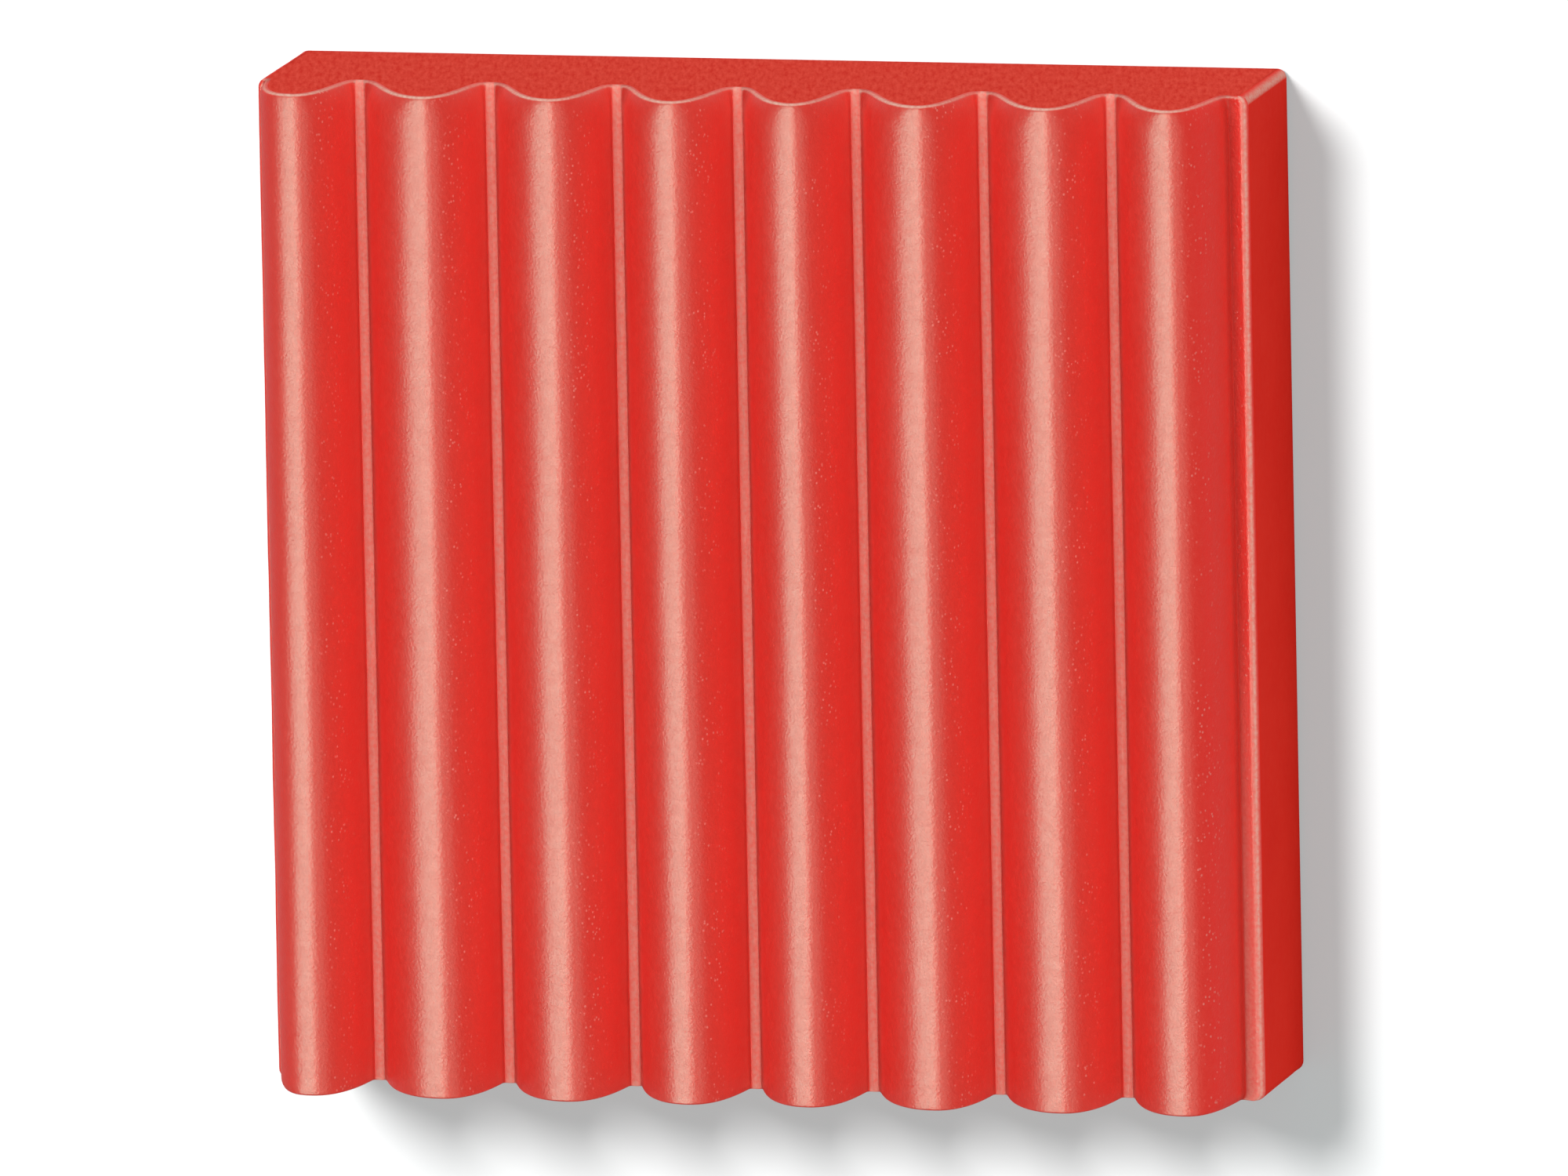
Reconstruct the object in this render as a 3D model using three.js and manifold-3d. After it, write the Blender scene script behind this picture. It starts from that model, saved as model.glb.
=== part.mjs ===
// A pressed block of modelling clay, lying on its flat back. Its upper face is scored by
// straight grooves into rounded bars, and each bar breaks off with its strip of the slab as
// one portion. Millimetres, +Z up. The origin is the middle of the flat back, the bars run
// along Y, and portion_1 is the one at the low end of X.

import * as THREE from 'three';
import { mergeVertices } from 'three/addons/utils/BufferGeometryUtils.js';
import Module from 'manifold-3d';

const wasm = await Module();
wasm.setup();

// The block
const blockWidth = 55; // across the bars
const blockLength = 55; // along the bars
const slabThickness = 9.9; // from the flat back to the floor of the grooves
const cornerRadius = 0.5; // of the upright corners, seen from above

// The bars and what lies between and beside them
const barHeight = 5.1; // from the floor of a groove to a crest
const grooveFloor = 0.5; // flat width between two bars
const firstLedge = 0.3; // flat strip outside the first bar
const lastLedge = 1.1; // flat strip outside the last bar
const shoulderRadius = 0.3; // of the slab's long upper edges

// Where the grooves lie, as shares of the block's width. The pressing isn't quite regular.
const grooveShares = [0.104, 0.236, 0.364, 0.486, 0.605, 0.733, 0.862];

// Where each bar's crest lies between its feet, as a share of the bar's width. The bars lean
// a little towards +X.
const crestShares = [0.56, 0.65, 0.64, 0.62, 0.64, 0.66, 0.65, 0.64];

// The curve of a bar's flank, as shares of the way from its foot to its crest: how far it
// reaches level at the foot, and how far at the crown. A bar rises gently on its low side and
// falls steeply on the other, but the first bar is steep on both sides.
const gentleFlank = { footShare: 0.05, crownShare: 0.7 };
const steepFlank = { footShare: 0.06, crownShare: 0.92 };

// How finely the round stretches are cut
const flankSteps = 14;
const cornerSteps = 6;

const clay = new THREE.Color(0xd92d26);
const clayRoughness = 0.45;

// The seams between portions run along the middle of the grooves, and the block's two long
// sides close the row.
const seams = [0, ...grooveShares, 1].map((share) => (share - 1 / 2) * blockWidth);

// The section of one portion, drawn with its width along X and its height along Y. A side is
// { x, ledge, radius, flank }: where the portion ends, how far its bar stands back from there,
// the rounding of the slab's upper edge, which is zero at a seam, and the curve of the flank.
function portionSection(left, right, crestShare) {
  const barLeft = left.x + left.ledge;
  const barRight = right.x - right.ledge;
  const crest = barLeft + crestShare * (barRight - barLeft);
  const leftFlank = crest - barLeft;
  const rightFlank = barRight - crest;
  const crestHeight = slabThickness + barHeight;

  const section = new THREE.Shape();
  section.moveTo(left.x, 0);
  section.lineTo(right.x, 0);
  section.lineTo(right.x, slabThickness - right.radius);
  if (right.radius > 0) {
    section.absarc(
      right.x - right.radius, slabThickness - right.radius, right.radius, 0, Math.PI / 2, false
    );
  }
  section.lineTo(barRight, slabThickness);
  section.bezierCurveTo(
    barRight - right.flank.footShare * rightFlank, slabThickness,
    crest + right.flank.crownShare * rightFlank, crestHeight,
    crest, crestHeight
  );
  section.bezierCurveTo(
    crest - left.flank.crownShare * leftFlank, crestHeight,
    barLeft + left.flank.footShare * leftFlank, slabThickness,
    barLeft, slabThickness
  );
  if (left.radius > 0) {
    section.lineTo(left.x + left.radius, slabThickness);
    section.absarc(
      left.x + left.radius, slabThickness - left.radius, left.radius, Math.PI / 2, Math.PI, false
    );
  } else {
    section.lineTo(left.x, slabThickness);
  }
  section.lineTo(left.x, 0);
  return section;
}

// The block seen from above: a rectangle with rounded corners.
function blockPlan() {
  const x = blockWidth / 2 - cornerRadius;
  const y = blockLength / 2 - cornerRadius;
  const plan = new THREE.Shape();
  plan.absarc(x, y, cornerRadius, 0, Math.PI / 2, false);
  plan.absarc(-x, y, cornerRadius, Math.PI / 2, Math.PI, false);
  plan.absarc(-x, -y, cornerRadius, Math.PI, 3 * Math.PI / 2, false);
  plan.absarc(x, -y, cornerRadius, 3 * Math.PI / 2, 2 * Math.PI, false);
  return plan;
}

// A closed mesh as a solid that can be cut.
function toSolid(geometry) {
  const bare = geometry.clone();
  bare.deleteAttribute('normal');
  bare.deleteAttribute('uv');
  const merged = mergeVertices(bare);
  return new wasm.Manifold(new wasm.Mesh({
    numProp: 3,
    vertProperties: merged.attributes.position.array,
    triVerts: new Uint32Array(merged.index.array),
  }));
}

function toGeometry(solid) {
  const { vertProperties, triVerts } = solid.getMesh();
  const geometry = new THREE.BufferGeometry();
  geometry.setAttribute('position', new THREE.BufferAttribute(vertProperties, 3));
  geometry.setIndex(new THREE.BufferAttribute(triVerts, 1));
  geometry.computeVertexNormals();
  return geometry;
}

// The space inside the block's upright sides and corners, taller than the block
function outerWalls() {
  const height = slabThickness + 2 * barHeight;
  const walls = new THREE.ExtrudeGeometry(blockPlan(), {
    depth: height + slabThickness,
    bevelEnabled: false,
    curveSegments: cornerSteps,
  });
  walls.translate(0, 0, -slabThickness);
  return toSolid(walls);
}

// One portion: its section drawn out along Y, inside the block's outer walls.
function portion(left, right, crestShare, walls) {
  const stick = new THREE.ExtrudeGeometry(portionSection(left, right, crestShare), {
    depth: blockLength,
    bevelEnabled: false,
    curveSegments: flankSteps,
  });
  stick.rotateX(Math.PI / 2);
  stick.translate(0, blockLength / 2, 0);
  return toGeometry(toSolid(stick).intersect(walls));
}

const block = new THREE.Group();
const walls = outerWalls();
const portionCount = seams.length - 1;
for (let i = 0; i < portionCount; i += 1) {
  const isFirst = i === 0;
  const isLast = i === portionCount - 1;
  const left = {
    x: seams[i],
    ledge: isFirst ? firstLedge : grooveFloor / 2,
    radius: isFirst ? shoulderRadius : 0,
    flank: isFirst ? steepFlank : gentleFlank,
  };
  const right = {
    x: seams[i + 1],
    ledge: isLast ? lastLedge : grooveFloor / 2,
    radius: isLast ? shoulderRadius : 0,
    flank: steepFlank,
  };
  const material = new THREE.MeshStandardMaterial({
    color: clay,
    roughness: clayRoughness,
    metalness: 0,
  });
  const mesh = new THREE.Mesh(portion(left, right, crestShares[i], walls), material);
  mesh.name = `portion_${i + 1}`;
  block.add(mesh);
}

export default block;
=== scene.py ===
"""A pressed block of red modelling clay on a white table, seen from above and a little to
one side. Each portion of the scored block is a closed mesh that stands for its solid."""

import math

import bmesh
import bpy
from mathutils import Matrix, Vector, noise


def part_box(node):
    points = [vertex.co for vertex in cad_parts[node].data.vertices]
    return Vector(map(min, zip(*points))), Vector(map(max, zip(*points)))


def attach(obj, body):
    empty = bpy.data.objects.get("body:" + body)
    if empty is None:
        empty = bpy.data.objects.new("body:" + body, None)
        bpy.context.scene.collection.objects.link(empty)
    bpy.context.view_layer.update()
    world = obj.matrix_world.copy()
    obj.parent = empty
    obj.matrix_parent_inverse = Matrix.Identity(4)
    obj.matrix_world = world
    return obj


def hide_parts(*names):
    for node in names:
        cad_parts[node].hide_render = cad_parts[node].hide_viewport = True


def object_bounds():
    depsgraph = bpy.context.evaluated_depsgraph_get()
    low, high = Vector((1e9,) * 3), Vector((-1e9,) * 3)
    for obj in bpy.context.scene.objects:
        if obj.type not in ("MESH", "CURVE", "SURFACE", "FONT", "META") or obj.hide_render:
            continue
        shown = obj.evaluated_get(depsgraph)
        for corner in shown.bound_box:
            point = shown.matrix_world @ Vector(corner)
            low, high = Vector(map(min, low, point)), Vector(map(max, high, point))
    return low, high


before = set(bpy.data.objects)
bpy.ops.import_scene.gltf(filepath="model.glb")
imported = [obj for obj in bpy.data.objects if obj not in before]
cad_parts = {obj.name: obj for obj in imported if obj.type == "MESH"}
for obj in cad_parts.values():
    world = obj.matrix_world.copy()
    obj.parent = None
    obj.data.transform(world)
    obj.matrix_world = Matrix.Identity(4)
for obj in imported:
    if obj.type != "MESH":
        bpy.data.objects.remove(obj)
cad_low, cad_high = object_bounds()

MM = 0.001

# Two places that are nearer than this are one.
TOUCHING = 0.0001 * MM

# The block. Its outer sizes and the seams come from the parts in model.glb.
SLAB_THICKNESS = 9.9 * MM
GROOVE_FLOOR = 0.5 * MM
FIRST_LEDGE = 0.3 * MM
LAST_LEDGE = 1.1 * MM
CREST_SHARES = [0.56, 0.65, 0.64, 0.62, 0.64, 0.66, 0.65, 0.64]

# A flank's curve: the shares of the way to the crest that it reaches level at the foot and at
# the crown. Near the upper end the block is a little worn, so the flanks are softer there, but
# the outer flank of the first bar stays steep. The wear sets in with a power of the nearness.
GENTLE_FLANK = 0.05, 0.7
STEEP_FLANK = 0.06, 0.92
WORN_GENTLE_FLANK = 0.22, 0.5
WORN_STEEP_FLANK = 0.3, 0.75
WORN_REACH = 1.4 * MM
WORN_POWER = 2

# The roundings. The first ledge is rounded over its whole width. At the upright corners, the
# points of the section move inwards as far across the block as the reach.
UPPER_RIM_RADIUS = 0.22 * MM
LOWER_RIM_RADIUS = 0.1 * MM
LAST_SHOULDER_RADIUS = 0.4 * MM
BACK_EDGE_RADIUS = 0.35 * MM
CORNER_RADIUS = 0.5 * MM
CORNER_REACH = 2.5 * MM

# The lands between the bars are slightly crowned, and the last ledge dips towards its bar.
LAND_CROWN = 0.06 * MM
LEDGE_DIP = 0.26 * MM
LOWEST_LAND = SLAB_THICKNESS - LEDGE_DIP - LAND_CROWN

# How far the painted shade of the crease along a foot reaches: up a bar's low side, up its high
# side, over the land, and both ways at the foot beside the last ledge
CREASE_SHADE_REACHES = 1.5 * MM, 0.3 * MM, 0.04 * MM
LAST_CREASE_SHADE_REACH = 0.55 * MM

# How dark the painted shade of a crease is at the foot, from 0 to 1: on a bar's low side, on its
# high side, and at the foot beside the last ledge
CREASE_SHADE_DEPTHS = 1.0, 0.6
LAST_CREASE_SHADE_DEPTH = 1.0

# How early below a crest the painted light begins that lifts the shade in the grooves: 1 is even,
# less is earlier. On the two flanks that face outwards it comes sooner by the gain.
PAINTED_LIGHT_CURVE = 0.6
OUTER_PAINTED_LIGHT_GAIN = 2

# Where a bar has its pimples, as shares of its width: between which they come and go
PIMPLE_BAND = 0.7, 0.8, 0.9, 0.96

# How strong the pale painted highlight is, from 0 to 1. On the lands it is palest at the seams
# and fades towards the feet, by one power on a bar's low side and by another on its high side.
LAND_HIGHLIGHT = 0.6
LAND_HIGHLIGHT_POWERS = 2, 3
LAND_HIGHLIGHT_SPILL = 0.08 * MM

# On the upper rim it is palest halfway across a bar, and this much of that is left at the feet.
RIM_HIGHLIGHT = 0.95
RIM_HIGHLIGHT_WIDTH = 0.14 * MM
RIM_LEAST = 1 / 3

# On the last ledge it grows towards the lower end, from this share of the way on.
LEDGE_HIGHLIGHT = 0.35
LEDGE_HIGHLIGHT_START = 0.5

# On the last ledge's edge: how far in and how far down it is palest, in radii of the rounding
SHOULDER_HIGHLIGHT = 0.95
SHOULDER_HIGHLIGHT_PLACE = 1 / 2, 1 / 4
SHOULDER_REACH = 0.22 * MM

# At the two upper corners
CORNER_HIGHLIGHT = 0.8

# How uneven the pressing is. All of it goes inwards, so the block keeps its outer sizes. Each
# seed is where a kind of unevenness reads its noise: a start, and a step for each portion.
SAG_DEPTH = 0.09 * MM
SAG_LENGTH = 21 * MM
SAG_SEED = 0.0, 7.3
SWAY_WIDTH = 0.10 * MM
SWAY_LENGTH = 17 * MM
SWAY_SEED = 50.0, 3.1
WAVE_DEPTH = 0.05 * MM
WAVE_LENGTH = 4.5 * MM
WAVE_SEED = 20.5
RIPPLE_DEPTH = 0.016 * MM
RIPPLE_LENGTH = 1.1 * MM
RIPPLE_SEED = 31.7

# How finely the meshes are cut, and the angle from which an edge is shown sharp
FLANK_STEPS = 20
LEDGE_STEPS = 6
ARC_STEPS = 5
WALL_STEPS = 14
LENGTH_STEPS = 100
RIM_STEPS = 5
CORNER_STEPS = 3
WORN_STEPS = 3
SHARP_ANGLE = math.radians(35)

# The places of the materials on each piece
PRESSED, CUT, MOULDED = range(3)

# What the meshes carry for the materials: how deep a point lies below the crests on either side
# of a bar, for the painted light there, how dark the painted shade of its crease is, whether it
# has pimples and how strong its pale painted highlight is
MARKS = "low_side", "high_side", "crease_shade", "pimples", "painted_highlight"


def spread(low, high, steps):
    """Even places from low up to, but without, high."""
    return [low + (high - low) * i / steps for i in range(steps)]


def between(first, second, share):
    """The point that lies that share of the way from the first to the second."""
    return tuple(a + (b - a) * share for a, b in zip(first, second))


def bezier(points, steps):
    """Points of the curve with those four control points, without its end."""
    curve = []
    for t in spread(0, 1, steps):
        u = 1 - t
        weights = u * u * u, 3 * u * u * t, 3 * u * t * t, t * t * t
        curve.append(tuple(sum(w * p for w, p in zip(weights, axis)) for axis in zip(*points)))
    return curve


def arc(centre, radius, start, end):
    """Points of an arc in the section, both ends among them. The angles are in quarter turns."""
    angles = [math.pi / 2 * (start + (end - start) * i / ARC_STEPS) for i in range(ARC_STEPS + 1)]
    return [(centre[0] + radius * math.cos(a), centre[1] + radius * math.sin(a)) for a in angles]


def bell(share):
    """1 halfway, falling to 0 at 0 and at 1."""
    return max(1 - (2 * share - 1) ** 2, 0)


def height_share(z):
    """0 on the slab, 1 on a crest."""
    return min(max((z - SLAB_THICKNESS) / (cad_high.z - SLAB_THICKNESS), 0), 1)


def rounded(distance, radius):
    """How far a rounded edge of that radius stands back at that distance from the end."""
    if distance >= radius:
        return 0.0
    distance = max(distance, 0.0)
    return radius - math.sqrt(distance * (2 * radius - distance))


class Portion:
    """One scored bar with its strip of slab, as a grid over the solid that it stands for."""

    def __init__(self, index, count):
        self.node = f"portion_{index + 1}"
        self.index = index
        low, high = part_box(self.node)
        self.x0, self.x1 = low.x, high.x
        self.y0, self.y1 = low.y, high.y
        self.top = high.z
        self.is_first = index == 0
        self.is_last = index == count - 1
        bar_left = self.x0 + (FIRST_LEDGE if self.is_first else GROOVE_FLOOR / 2)
        bar_right = self.x1 - (LAST_LEDGE if self.is_last else GROOVE_FLOOR / 2)
        self.bar = bar_left, bar_right
        self.crest = bar_left + CREST_SHARES[index] * (bar_right - bar_left)

    def on_seam(self, x):
        """Whether a point lies where this portion meets another."""
        return (abs(x - self.x0) < TOUCHING and not self.is_first
                or abs(x - self.x1) < TOUCHING and not self.is_last)

    def on_outer_side(self, x):
        """Whether a point lies on one of the block's two long sides."""
        return (abs(x - self.x0) < TOUCHING and self.is_first
                or abs(x - self.x1) < TOUCHING and self.is_last)

    def flank(self, foot, curve):
        """The four control points of the flank that rises from that foot to the crest."""
        foot_share, crown_share = curve
        way = self.crest - foot[0]
        level_foot = foot[0] + foot_share * way, foot[1]
        level_crown = self.crest - crown_share * way, self.top
        return foot, level_foot, level_crown, (self.crest, self.top)

    def upper_line(self, gentle, steep):
        """The section's upper side, from low x to high x."""
        floor = SLAB_THICKNESS
        left, right = self.bar
        if self.is_first:
            left_foot = floor
            rise = self.flank((left, left_foot), STEEP_FLANK)
            line = arc((left, floor - FIRST_LEDGE), FIRST_LEDGE, 2, 1)[:-1]
        else:
            left_foot = floor - LAND_CROWN
            rise = self.flank((left, left_foot), gentle)
            line = [
                (self.x0 + t * (left - self.x0), floor - LAND_CROWN * t * t)
                for t in spread(0, 1, LEDGE_STEPS)
            ]
        right_foot = floor - (LEDGE_DIP if self.is_last else LAND_CROWN)
        fall = self.flank((right, right_foot), steep)[::-1]
        line += bezier(rise, FLANK_STEPS) + bezier(fall, FLANK_STEPS)
        end = self.x1 - (LAST_SHOULDER_RADIUS if self.is_last else 0)
        line += [
            (right + t * (end - right), floor + (right_foot - floor) * (1 - t))
            for t in spread(0, 1, LEDGE_STEPS)
        ]
        if self.is_last:
            return line + arc((end, floor - LAST_SHOULDER_RADIUS), LAST_SHOULDER_RADIUS, 1, 0)
        return line + [(end, floor)]

    def lower_line(self, upper):
        """The section's lower side, from low x to high x, with as many points as the upper."""
        radius = BACK_EDGE_RADIUS
        places = [x for x, _ in upper]
        if self.is_first:
            edge = arc((self.x0 + radius, radius), radius, 2, 3)
            squeeze = (self.x1 - edge[-1][0]) / (self.x1 - self.bar[0])
            return edge + [(self.x1 - (self.x1 - x) * squeeze, 0.0) for x in places[len(edge):]]
        if self.is_last:
            edge = arc((self.x1 - radius, radius), radius, 3, 4)
            return [(x, 0.0) for x in places[:-len(edge)]] + edge
        return [(x, 0.0) for x in places]

    def loop(self, gentle, steep):
        """The closed section: its points, the way inwards at each, and its upper line's count.
        A point on a seam stays in the seam, so its way is straight down or up, or none."""
        upper = self.upper_line(gentle, steep)
        lower = self.lower_line(upper)
        shares = [i / WALL_STEPS for i in range(1, WALL_STEPS)]
        right = [between(upper[-1], lower[-1], share) for share in shares]
        left = [between(lower[0], upper[0], share) for share in shares]
        points = upper + right + lower[::-1] + left
        across, down = len(upper), len(shares)
        inward = []
        for j, (x, _) in enumerate(points):
            before, after = points[j - 1], points[(j + 1) % len(points)]
            tangent = Vector((after[0] - before[0], after[1] - before[1])).normalized()
            way = Vector((tangent.y, -tangent.x))
            if self.on_seam(x):
                on_upper, on_lower = j < across, across + down <= j < 2 * across + down
                way = Vector((0, on_lower - on_upper))
            inward.append(way)
        return points, inward, across

    def painted_light_depths(self, x, z):
        """How far below the crest a point lies, from 0 to 1, on the low side and the high side.
        It sets the painted light that lifts the shade down the flanks. The two flanks that face
        outwards both take the painted light of the low sides."""
        depth = (1 - height_share(z)) ** PAINTED_LIGHT_CURVE
        if self.is_last and x > self.crest or self.is_first and x < self.crest:
            return min(OUTER_PAINTED_LIGHT_GAIN * depth, 1), 0
        return (0, depth) if x > self.crest else (depth, 0)

    def crease_shade(self, x, z):
        """How dark the painted shade in the crease along the bar's feet is there, from 0 to 1."""
        if z < LOWEST_LAND:
            return 0
        left, right = self.bar
        low_depth, high_depth = CREASE_SHADE_DEPTHS
        low_reach, high_reach, land_reach = CREASE_SHADE_REACHES
        if x <= left:
            low_reach = land_reach
        if x >= right:
            high_reach = land_reach
        if self.is_last:
            high_depth, high_reach = LAST_CREASE_SHADE_DEPTH, LAST_CREASE_SHADE_REACH
        height = max(z - SLAB_THICKNESS, 0)
        low = low_depth * (1 - math.hypot(x - left, height) / low_reach)
        high = high_depth * (1 - math.hypot(x - right, height) / high_reach)
        return max(low, high, 0)

    def bar_share(self, x):
        """How far across the bar a point lies: 0 at its left foot, 1 at its right foot."""
        left, right = self.bar
        return (x - left) / (right - left)

    def pimples(self, x, z):
        """1 on the stretch of the bar that has pimples and on the last ledge, 0 elsewhere."""
        share = self.bar_share(x)
        start, full, until, end = PIMPLE_BAND
        if z < SLAB_THICKNESS - LEDGE_DIP:
            return 0
        if self.is_last and share > 1:
            return 1
        return max(min((share - start) / (full - start), (end - share) / (end - until), 1), 0)

    def land_highlight(self, x):
        left, right = self.bar
        low_power, high_power = LAND_HIGHLIGHT_POWERS
        if x > right and not self.is_last:
            return LAND_HIGHLIGHT * (1 - ((self.x1 - x) / (self.x1 - right)) ** high_power)
        if self.is_first:
            return 0
        return LAND_HIGHLIGHT * (1 - ((x - self.x0) / (left - self.x0 + LAND_HIGHLIGHT_SPILL)) ** low_power)

    def rim_highlight(self, x, from_upper_end):
        along = RIM_LEAST + (1 - RIM_LEAST) * bell(self.bar_share(x))
        return RIM_HIGHLIGHT * along * bell(from_upper_end / RIM_HIGHLIGHT_WIDTH)

    def ledge_highlight(self, from_upper_end):
        lowered = from_upper_end / (self.y1 - self.y0)
        return LEDGE_HIGHLIGHT * (lowered - LEDGE_HIGHLIGHT_START) / (1 - LEDGE_HIGHLIGHT_START)

    def shoulder_highlight(self, x, z):
        share_in, share_down = SHOULDER_HIGHLIGHT_PLACE
        palest_x = self.x1 - share_in * LAST_SHOULDER_RADIUS
        palest_z = SLAB_THICKNESS - share_down * LAST_SHOULDER_RADIUS
        return SHOULDER_HIGHLIGHT * (1 - math.hypot(x - palest_x, z - palest_z) / SHOULDER_REACH)

    def painted_highlight(self, x, z, from_upper_end):
        """How strong the pale painted highlight is there, from 0 to 1."""
        painted_highlight = 0
        on_upper = z > LOWEST_LAND
        if on_upper:
            painted_highlight = max(painted_highlight, self.land_highlight(x), self.rim_highlight(x, from_upper_end))
        if on_upper and self.is_last and self.bar_share(x) > 1:
            painted_highlight = max(painted_highlight, self.ledge_highlight(from_upper_end))
        if self.is_last:
            painted_highlight = max(painted_highlight, self.shoulder_highlight(x, z))
        if self.on_outer_side(x):
            painted_highlight = max(painted_highlight, CORNER_HIGHLIGHT * bell(from_upper_end / CORNER_RADIUS))
        return painted_highlight

    def marks(self, x, z, from_upper_end):
        """What a point carries for the materials, in the order of MARKS."""
        return (*self.painted_light_depths(x, z), self.crease_shade(x, z), self.pimples(x, z),
                self.painted_highlight(x, z, from_upper_end))

    def corner_shift(self, x, from_end, rim_radius):
        """How far the upright corners' rounding moves a point along X."""
        depth = rounded(from_end, CORNER_RADIUS) - rounded(from_end, rim_radius)
        if self.is_first:
            return depth * max(1 - (x - self.x0) / CORNER_REACH, 0)
        if self.is_last:
            return -depth * max(1 - (self.x1 - x) / CORNER_REACH, 0)
        return 0

    def pressed(self, x, y, z, way):
        """A point of the section, moved inwards as uneven pressing does."""
        def seed(start, step):
            return start + step * self.index
        share = height_share(z)
        sag = SAG_DEPTH * smooth_noise(0, y, 0, SAG_LENGTH, seed(*SAG_SEED)) * share
        sway = smooth_noise(0, y, 0, SWAY_LENGTH, seed(*SWAY_SEED)) - 1 / 2
        depth = 0
        if z >= BACK_EDGE_RADIUS:
            depth = WAVE_DEPTH * smooth_noise(x, y, z, WAVE_LENGTH, WAVE_SEED)
            depth += RIPPLE_DEPTH * smooth_noise(x, y, z, RIPPLE_LENGTH, RIPPLE_SEED)
        return x + SWAY_WIDTH * sway * share + way.x * depth, y, z - sag + way.y * depth


def smooth_noise(x, y, z, length, seed):
    """A value from 0 to 1 that changes over about that length."""
    value = noise.noise(Vector((x / length + seed, y / length, z / length)))
    return min(max((value + 1) / 2, 0), 1)


def stations(y0, y1):
    """Places along Y, closer together where the ends and the upright corners are rounded."""
    def near(rim_radius):
        turns = spread(0, math.pi / 2, RIM_STEPS)
        places = [rim_radius * (1 - math.cos(turn)) for turn in turns]
        places += spread(rim_radius, CORNER_RADIUS, CORNER_STEPS)
        return places + spread(CORNER_RADIUS, WORN_REACH, WORN_STEPS)
    middle = spread(y0 + WORN_REACH, y1 - WORN_REACH, LENGTH_STEPS) + [y1 - WORN_REACH]
    low = [y0 + s for s in near(LOWER_RIM_RADIUS)]
    high = [y1 - s for s in reversed(near(UPPER_RIM_RADIUS))]
    return low + middle + high


def build_portion(portion):
    """A closed mesh over a grid: across the section, down its walls and along Y."""
    crisp, inward, across = portion.loop(GENTLE_FLANK, STEEP_FLANK)
    worn, worn_inward, _ = portion.loop(WORN_GENTLE_FLANK, WORN_STEEP_FLANK)
    count = len(crisp)
    mesh = bmesh.new()
    layers = [mesh.verts.layers.float.new(name) for name in MARKS]
    rings = []
    for y in stations(portion.y0, portion.y1):
        from_lower, from_upper = y - portion.y0, portion.y1 - y
        from_end = min(from_lower, from_upper)
        rim_radius = LOWER_RIM_RADIUS if from_lower < from_upper else UPPER_RIM_RADIUS
        back = rounded(from_end, rim_radius)
        share = max(1 - from_upper / WORN_REACH, 0) ** WORN_POWER
        ring = []
        for j in range(count):
            x, z = between(crisp[j], worn[j], share)
            way = inward[j].lerp(worn_inward[j], share)
            set_back_x = x + way.x * back + portion.corner_shift(x, from_end, rim_radius)
            set_back_z = z + way.y * back
            vert = mesh.verts.new(portion.pressed(set_back_x, y, set_back_z, way))
            for layer, value in zip(layers, portion.marks(x, z, from_upper)):
                vert[layer] = value
            ring.append(vert)
        rings.append(ring)
    for low, high in zip(rings, rings[1:]):
        for j in range(count):
            after = (j + 1) % count
            face = mesh.faces.new((low[j], high[j], high[after], low[after]))
            face.material_index = PRESSED if j < across - 1 else MOULDED
    for ring in (rings[0], rings[-1]):
        for face in cap_end(mesh, ring, across):
            face.material_index = CUT
    bmesh.ops.recalc_face_normals(mesh, faces=mesh.faces)
    return to_object(mesh, portion.node + "_clay")


def cap_end(mesh, ring, across):
    """Fills an end of the section with a grid between its upper line and its lower line."""
    rows = WALL_STEPS
    upper = ring[:across]
    right = ring[across:across + rows - 1]
    lower = ring[across + rows - 1:2 * across + rows - 1][::-1]
    left = ring[2 * across + rows - 1:]
    grid = [lower]
    for r in range(1, rows):
        row = [left[r - 1]]
        for i in range(1, across - 1):
            row.append(mesh.verts.new(lower[i].co.lerp(upper[i].co, r / rows)))
        row.append(right[rows - 1 - r])
        grid.append(row)
    grid.append(upper)
    faces = []
    for low, high in zip(grid, grid[1:]):
        for i in range(across - 1):
            faces.append(mesh.faces.new((low[i], low[i + 1], high[i + 1], high[i])))
    return faces


def to_object(mesh, name):
    """Makes an object of a finished mesh and puts it into the scene."""
    data = bpy.data.meshes.new(name)
    mesh.to_mesh(data)
    mesh.free()
    made = bpy.data.objects.new(name, data)
    bpy.context.scene.collection.objects.link(made)
    return made


# The clay's colours, in red, green and blue from 0 to 255, as they show in a plain light. The
# bars have two reds in broad patches. Below the crests these turn into lighter reds, painted
# light that lifts the shade in the grooves. The crease red is painted shade, the pimples' pale
# red is a painted glint, and the pale pink is a painted highlight.
BAR_REDS = (220, 49, 40), (223, 54, 45)
LOW_SIDE_PAINTED_LIGHT_RED = 253, 46, 38
HIGH_SIDE_PAINTED_LIGHT_RED = 253, 74, 64
BAR_GRAIN_RED = 244, 74, 62
PIMPLE_GLINT_RED = 250, 124, 113
CREASE_SHADE_RED = 206, 46, 38
HIGHLIGHT_PINK = 245, 191, 173
CUT_REDS = (231, 50, 34), (244, 80, 62)
MOULDED_REDS = (248, 45, 31), (252, 50, 35)
MOULDED_GRAIN_RED = 253, 60, 45

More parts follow.
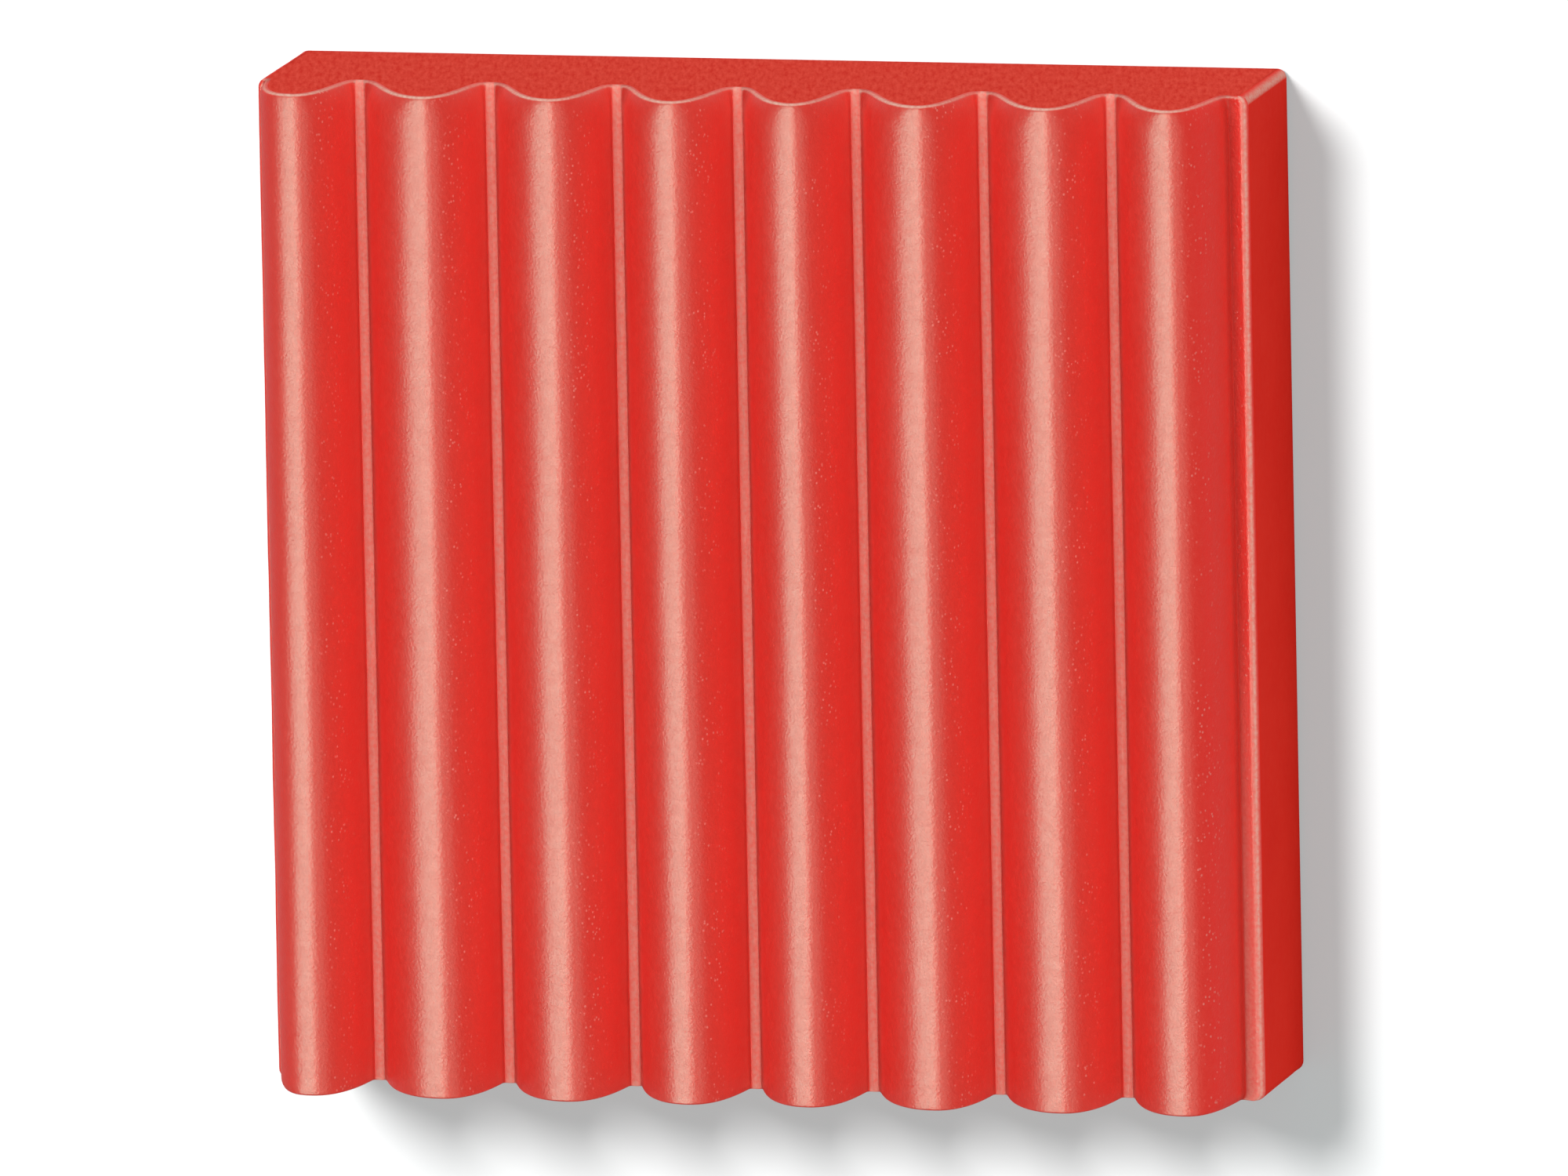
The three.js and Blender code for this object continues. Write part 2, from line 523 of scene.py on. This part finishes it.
# The sizes of what the clay shows: how wide the blobs of each noise are, and how far apart the
# pimples lie
BAR_PATCH = 9 * MM
MOULDED_PATCH = 6 * MM
PIMPLE_PATCH = 1.6 * MM
PIMPLE_SPACING = 0.32 * MM
BAR_GRAIN = 0.3 * MM
MOULDED_GRAIN = 0.4 * MM
HIGHLIGHT_GRAIN = 0.2 * MM
CUT_BLOTCH = 0.25 * MM
CUT_GRAIN = 0.3 * MM
SKIN_GRAIN = 0.5 * MM
FINE_GRAIN = 0.16 * MM

# The torn grain of the cut ends: how far it is drawn out, and how far it leans
CUT_STRETCH = 1, 1, 6
CUT_LEAN = math.radians(13.5)

# A noise stays near 0.3 to 0.7. These are the values at which a pattern sets in and is full.
WHOLE_RANGE = 0.3, 0.7
SOFT_PATCHES = 0.35, 0.65
BLOTCHES = 0.34, 0.66
SPARSE_GRAINS = 0.45, 0.75
SPARSE_PATCHES = 0.42, 0.6
HIGHLIGHT_GRAINS = 0.35, 0.6

# How far out a pimple reaches, as a share of the spacing, and how much of that is its flat top
PIMPLE_RADIUS = 0.26
PIMPLE_TOP = 0.6

# How rough the clay is. It is rougher under the pale painted highlight, by the full factor from
# this much of it on.
BAR_ROUGHNESS = 0.38, 0.46
CUT_ROUGHNESS = 0.8, 0.95
MOULDED_ROUGHNESS = 0.7, 0.8
HIGHLIGHT_ROUGHER = 1.9
HIGHLIGHT_FULLY = 0.5

# The gloss: how strong it is, and its colour on the bars
BAR_GLOSS = 0.28
BAR_GLOSS_TINT = 0.05, 1.0, 0.8, 1.0
CUT_GLOSS = 0.04
MOULDED_GLOSS = 0.05


def srgb(red, green, blue):
    """A linear colour from the 0 to 255 values that it shows as."""
    def linear(value):
        value /= 255
        return value / 12.92 if value <= 0.04045 else ((value + 0.055) / 1.055) ** 2.4
    return linear(red), linear(green), linear(blue), 1.0


class Shader:
    """A material's node tree, with a short call for each kind of node that is used here."""

    def __init__(self, name):
        self.material = bpy.data.materials.new(name)
        self.material.use_nodes = True
        self.tree = self.material.node_tree
        self.surface = self.tree.nodes["Principled BSDF"]
        self.place = self.tree.nodes.new("ShaderNodeTexCoord").outputs["Object"]

    def link(self, source, target):
        self.tree.links.new(source, target)

    def marked(self, name):
        """How strongly the mesh carries that mark, from 0 to 1."""
        node = self.tree.nodes.new("ShaderNodeAttribute")
        node.attribute_name = name
        return node.outputs["Fac"]

    def noise(self, size, detail=3.0, roughness=0.55, stretch=(1, 1, 1), lean=0):
        """Noise whose blobs are about that many metres across, stretched and leant over Y."""
        mapping = self.tree.nodes.new("ShaderNodeMapping")
        mapping.vector_type = "TEXTURE"
        mapping.inputs["Rotation"].default_value = 0, lean, 0
        mapping.inputs["Scale"].default_value = [size * s for s in stretch]
        self.link(self.place, mapping.inputs["Vector"])
        node = self.tree.nodes.new("ShaderNodeTexNoise")
        node.inputs["Scale"].default_value = 1.0
        node.inputs["Detail"].default_value = detail
        node.inputs["Roughness"].default_value = roughness
        self.link(mapping.outputs["Vector"], node.inputs["Vector"])
        return node.outputs["Fac"]

    def dots(self, spacing, radius, top):
        """1 in small round dots, about that many metres apart, else 0. The radius is a share of
        the spacing, and the flat top is a share of the radius."""
        mapping = self.tree.nodes.new("ShaderNodeMapping")
        mapping.inputs["Scale"].default_value = [1 / spacing] * 3
        self.link(self.place, mapping.inputs["Vector"])
        node = self.tree.nodes.new("ShaderNodeTexVoronoi")
        node.inputs["Scale"].default_value = 1.0
        self.link(mapping.outputs["Vector"], node.inputs["Vector"])
        return self.range(node.outputs["Distance"], (radius * top, radius), (1.0, 0.0))

    def range(self, value, span, to=(0.0, 1.0)):
        """That value, moved from one span to another and held there."""
        node = self.tree.nodes.new("ShaderNodeMapRange")
        node.inputs["From Min"].default_value, node.inputs["From Max"].default_value = span
        node.inputs["To Min"].default_value, node.inputs["To Max"].default_value = to
        self.link(value, node.inputs["Value"])
        return node.outputs["Result"]

    def multiply(self, first, second):
        node = self.tree.nodes.new("ShaderNodeMath")
        node.operation = "MULTIPLY"
        self.link(first, node.inputs[0])
        self.link(second, node.inputs[1])
        return node.outputs["Value"]

    def mix(self, share, first, second):
        """The second colour over the first. A colour is a socket or three numbers up to 255."""
        node = self.tree.nodes.new("ShaderNodeMix")
        node.data_type = "RGBA"
        self.link(share, node.inputs["Factor"])
        for colour, socket in ((first, node.inputs["A"]), (second, node.inputs["B"])):
            if isinstance(colour, tuple):
                socket.default_value = srgb(*colour)
            else:
                self.link(colour, socket)
        return node.outputs["Result"]

    def bump(self, height, depth, strength, after=None):
        """Relief that is depth metres deep."""
        node = self.tree.nodes.new("ShaderNodeBump")
        node.inputs["Distance"].default_value = depth
        node.inputs["Strength"].default_value = strength
        self.link(height, node.inputs["Height"])
        if after is not None:
            self.link(after, node.inputs["Normal"])
        return node.outputs["Normal"]

    def with_painted_highlight(self, colour):
        """That colour, with the pale painted highlight over it where the mesh carries it, in fine
        grains.
        """
        grain = self.range(self.noise(HIGHLIGHT_GRAIN, detail=2), HIGHLIGHT_GRAINS, to=(0.6, 1.0))
        return self.mix(self.multiply(self.marked("painted_highlight"), grain), colour, HIGHLIGHT_PINK)

    def finish(self, colour, roughness, normal, constants):
        """Links the surface, and sets what is the same all over it on the surface itself."""
        self.link(colour, self.surface.inputs["Base Color"])
        self.link(roughness, self.surface.inputs["Roughness"])
        self.link(normal, self.surface.inputs["Normal"])
        for name, value in constants.items():
            self.surface.inputs[name].default_value = value
        return self.material


def pressed_clay():
    """The skin that the mould leaves: satin, with grains and pimples, with painted light down the
    flanks, painted shade in the creases, painted glints on the pimples and pale painted
    highlights.
    """
    shader = Shader("pressed_clay")
    patches = shader.range(shader.noise(BAR_PATCH), SOFT_PATCHES)
    colour = shader.mix(patches, *BAR_REDS)
    # Painted light: the flanks grow lighter below the crests, against the shade in the grooves.
    colour = shader.mix(shader.marked("low_side"), colour, LOW_SIDE_PAINTED_LIGHT_RED)
    colour = shader.mix(shader.marked("high_side"), colour, HIGH_SIDE_PAINTED_LIGHT_RED)
    grain = shader.range(shader.noise(BAR_GRAIN, detail=4), SPARSE_GRAINS, to=(0.0, 0.3))
    colour = shader.mix(grain, colour, BAR_GRAIN_RED)
    where = shader.range(shader.noise(PIMPLE_PATCH), SPARSE_PATCHES)
    where = shader.multiply(shader.marked("pimples"), where)
    pimples = shader.multiply(shader.dots(PIMPLE_SPACING, PIMPLE_RADIUS, PIMPLE_TOP), where)
    # The pale colour on the pimples is a painted glint.
    colour = shader.mix(pimples, colour, PIMPLE_GLINT_RED)
    # Painted shade: the creases along the feet are darkened where shade falls.
    colour = shader.mix(shader.marked("crease_shade"), colour, CREASE_SHADE_RED)
    # Painted highlight: pale pink on the lands, the upper rims, the last ledge and the upper
    # corners.
    colour = shader.with_painted_highlight(colour)
    roughness = shader.range(shader.noise(SKIN_GRAIN), WHOLE_RANGE, to=BAR_ROUGHNESS)
    rougher = shader.range(shader.marked("painted_highlight"), (0.0, HIGHLIGHT_FULLY), to=(1.0, HIGHLIGHT_ROUGHER))
    roughness = shader.multiply(roughness, rougher)
    skin = shader.bump(shader.noise(SKIN_GRAIN), depth=0.03 * MM, strength=0.4)
    fine = shader.noise(FINE_GRAIN, detail=2)
    skin = shader.bump(fine, depth=0.035 * MM, strength=0.75, after=skin)
    skin = shader.bump(pimples, depth=0.02 * MM, strength=0.6, after=skin)
    return shader.finish(colour, roughness, skin, {
        "Specular IOR Level": BAR_GLOSS,
        "Specular Tint": BAR_GLOSS_TINT,
    })


def cut_clay():
    """The cut ends: matt and mottled, with the torn grain of the clay."""
    shader = Shader("cut_clay")
    torn = {"stretch": CUT_STRETCH, "lean": CUT_LEAN}
    blotch = shader.range(shader.noise(CUT_BLOTCH, roughness=0.6, **torn), BLOTCHES)
    colour = shader.mix(blotch, *CUT_REDS)
    roughness = shader.range(shader.noise(CUT_GRAIN), WHOLE_RANGE, to=CUT_ROUGHNESS)
    grain = shader.noise(CUT_GRAIN, detail=4, **torn)
    skin = shader.bump(grain, depth=0.02 * MM, strength=0.3)
    return shader.finish(colour, roughness, skin, {"Specular IOR Level": CUT_GLOSS})


def moulded_clay():
    """The sides and the back, which lay against the mould: smooth, matt and even."""
    shader = Shader("moulded_clay")
    patches = shader.range(shader.noise(MOULDED_PATCH), SOFT_PATCHES)
    colour = shader.mix(patches, *MOULDED_REDS)
    grain = shader.range(shader.noise(MOULDED_GRAIN, detail=4), SPARSE_GRAINS, to=(0.0, 0.25))
    # The pale pink at the upper corners and the last ledge's edge is a painted highlight.
    colour = shader.with_painted_highlight(shader.mix(grain, colour, MOULDED_GRAIN_RED))
    roughness = shader.range(shader.noise(SKIN_GRAIN), WHOLE_RANGE, to=MOULDED_ROUGHNESS)
    skin = shader.bump(shader.noise(SKIN_GRAIN), depth=0.015 * MM, strength=0.25)
    return shader.finish(colour, roughness, skin, {"Specular IOR Level": MOULDED_GLOSS})


def add_block():
    """Every portion, with the three kinds of clay on it."""
    skins = [pressed_clay(), cut_clay(), moulded_clay()]
    count = len(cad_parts)
    for index in range(count):
        portion = Portion(index, count)
        piece = build_portion(portion)
        for skin in skins:
            piece.data.materials.append(skin)
        for face in piece.data.polygons:
            face.use_smooth = True
        piece.data.set_sharp_from_angle(angle=SHARP_ANGLE)
        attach(piece, "root")
        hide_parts(portion.node)


# The table. The light that it throws on the clay comes off a darker colour than the camera
# sees. What the camera sees is a grey that takes the shadow, and a white that is added to it.
TABLE_SIZE = 8.0
TABLE_COLOUR = 0.15, 0.15, 0.15, 1
TABLE_SEEN_COLOUR = 0.3, 0.3, 0.3, 1
TABLE_SEEN_WHITE = 0.318, 0.35, 0.35, 1

# The world's level on the clay and for the camera. A level of 1 shows as white.
WHITE = 1, 1, 1, 1
WORLD_LEVEL = 0.49
WORLD_SEEN_LEVEL = 1.0

# The far lamps: each one's level on a surface that lies flat, where it comes from and its
# width. The key casts the shadow on the table alone. The fills light the clay alone.
KEY = 2.0, Vector((-0.35, 0.42, 1.0)), math.radians(16)
FILLS = {
    "right_fill": (0.12, Vector((0.65, -0.1, 0.8)), math.radians(60)),
    "left_fill": (0.05, Vector((-0.9, 0.0, 0.6)), math.radians(90)),
    "back_fill": (0.18, Vector((0.0, 1.0, 0.5)), math.radians(90)),
}

# Soft boxes that only the gloss shows: the level, where it comes from, its width and length
PANEL_DISTANCE = 0.8
PANELS = {
    "streak": (19.4, Vector((-0.50, -0.17, 1.0)), (0.42, 1.0)),
    "tail": (8.5, Vector((-0.02, -0.17, 1.0)), (0.4, 1.0)),
    "right_tail": (3.8, Vector((0.62, -0.17, 0.95)), (0.4, 1.0)),
    "rim_light": (44, Vector((-0.3, 0.85, 0.45)), (0.4, 0.4)),
}


def add_table():
    mesh = bmesh.new()
    bmesh.ops.create_grid(mesh, x_segments=1, y_segments=1, size=TABLE_SIZE / 2)
    table = to_object(mesh, "table")
    material = bpy.data.materials.new("table")
    material.use_nodes = True
    nodes, links = material.node_tree.nodes, material.node_tree.links
    plain, out = nodes["Principled BSDF"], nodes["Material Output"]
    plain.inputs["Base Color"].default_value = TABLE_COLOUR
    plain.inputs["Roughness"].default_value = 1.0
    plain.inputs["Specular IOR Level"].default_value = 0.0
    seen = nodes.new("ShaderNodeBsdfDiffuse")
    seen.inputs["Color"].default_value = TABLE_SEEN_COLOUR
    white = nodes.new("ShaderNodeEmission")
    white.inputs["Color"].default_value = TABLE_SEEN_WHITE
    both = nodes.new("ShaderNodeAddShader")
    links.new(seen.outputs["BSDF"], both.inputs[0])
    links.new(white.outputs["Emission"], both.inputs[1])
    mix = nodes.new("ShaderNodeMixShader")
    path = nodes.new("ShaderNodeLightPath")
    links.new(path.outputs["Is Camera Ray"], mix.inputs["Fac"])
    links.new(plain.outputs["BSDF"], mix.inputs[1])
    links.new(both.outputs["Shader"], mix.inputs[2])
    links.new(mix.outputs["Shader"], out.inputs["Surface"])
    table.data.materials.append(material)
    return table


def place_lamp(name, lamp, came_from, distance=1.0):
    lit = bpy.data.objects.new(name, lamp)
    lit.location = came_from.normalized() * distance
    lit.rotation_mode = "QUATERNION"
    lit.rotation_quaternion = came_from.to_track_quat("Z", "Y")
    bpy.context.scene.collection.objects.link(lit)
    return lit


def add_sun(name, level, came_from, width):
    """A far soft lamp. Its level is what it adds to a white surface that lies flat."""
    lamp = bpy.data.lights.new(name, "SUN")
    lamp.energy = level * math.pi / came_from.normalized().z
    lamp.angle = width
    return place_lamp(name, lamp, came_from)


def link_table(lamp, table, state):
    """Makes a lamp light the table alone, or all but the table."""
    receivers = bpy.data.collections.new(lamp.name + "_receivers")
    receivers.objects.link(table)
    receivers.collection_objects[0].light_linking.link_state = state
    lamp.light_linking.receiver_collection = receivers


def add_panel(name, level, came_from, size):
    """A soft box for the gloss alone. Its level is how bright it looks."""
    lamp = bpy.data.lights.new(name, "AREA")
    lamp.shape = "RECTANGLE"
    lamp.size, lamp.size_y = size
    lamp.energy = level * math.pi * size[0] * size[1]
    panel = place_lamp(name, lamp, came_from, PANEL_DISTANCE)
    panel.visible_diffuse = False


def add_lamps(table):
    link_table(add_sun("key", *KEY), table, "INCLUDE")
    for name, fill in FILLS.items():
        lamp = add_sun(name, *fill)
        lamp.visible_glossy = False
        link_table(lamp, table, "EXCLUDE")
    for name, panel in PANELS.items():
        add_panel(name, *panel)


def add_world():
    world = bpy.data.worlds.new("studio")
    bpy.context.scene.world = world
    world.use_nodes = True
    nodes, links = world.node_tree.nodes, world.node_tree.links
    nodes.clear()
    out = nodes.new("ShaderNodeOutputWorld")
    mix = nodes.new("ShaderNodeMixShader")
    path = nodes.new("ShaderNodeLightPath")
    links.new(path.outputs["Is Camera Ray"], mix.inputs["Fac"])
    for socket, level in ((mix.inputs[1], WORLD_LEVEL), (mix.inputs[2], WORLD_SEEN_LEVEL)):
        background = nodes.new("ShaderNodeBackground")
        background.inputs["Color"].default_value = WHITE
        background.inputs["Strength"].default_value = level
        links.new(background.outputs["Background"], socket)
    links.new(mix.outputs["Shader"], out.inputs["Surface"])


# The camera looks down on the block, a little from +X and +Y.
CAMERA_RIGHT = math.radians(13.5)
CAMERA_UP = math.radians(10.0)
CAMERA_ROLL = math.radians(-1.1)
CAMERA_DISTANCE = 2.5
CAMERA_TARGET = Vector((0.75, -0.3, 7.5)) * MM
CLIP_FACTOR = 10
FRAME_WIDTH_PIXELS = 2000
PIXELS_PER_METRE = 23560
SENSOR_WIDTH = 36


def add_camera():
    data = bpy.data.cameras.new("camera")
    data.sensor_width = SENSOR_WIDTH
    data.lens = SENSOR_WIDTH * CAMERA_DISTANCE * PIXELS_PER_METRE / FRAME_WIDTH_PIXELS
    data.clip_start = CAMERA_DISTANCE / CLIP_FACTOR
    data.clip_end = CAMERA_DISTANCE * CLIP_FACTOR
    camera = bpy.data.objects.new("camera", data)
    back = Vector((math.tan(CAMERA_RIGHT), math.tan(CAMERA_UP), 1)).normalized()
    level_right = Vector((0, 1, 0)).cross(back).normalized()
    level_up = back.cross(level_right)
    right = level_right * math.cos(CAMERA_ROLL) + level_up * math.sin(CAMERA_ROLL)
    turn = Matrix((right, back.cross(right), back)).transposed()
    place = Matrix.Translation(CAMERA_TARGET + back * CAMERA_DISTANCE)
    camera.matrix_world = place @ turn.to_4x4()
    bpy.context.scene.collection.objects.link(camera)
    bpy.context.scene.camera = camera


add_block()
add_lamps(add_table())
add_world()
add_camera()
bpy.context.scene.view_settings.view_transform = "Standard"
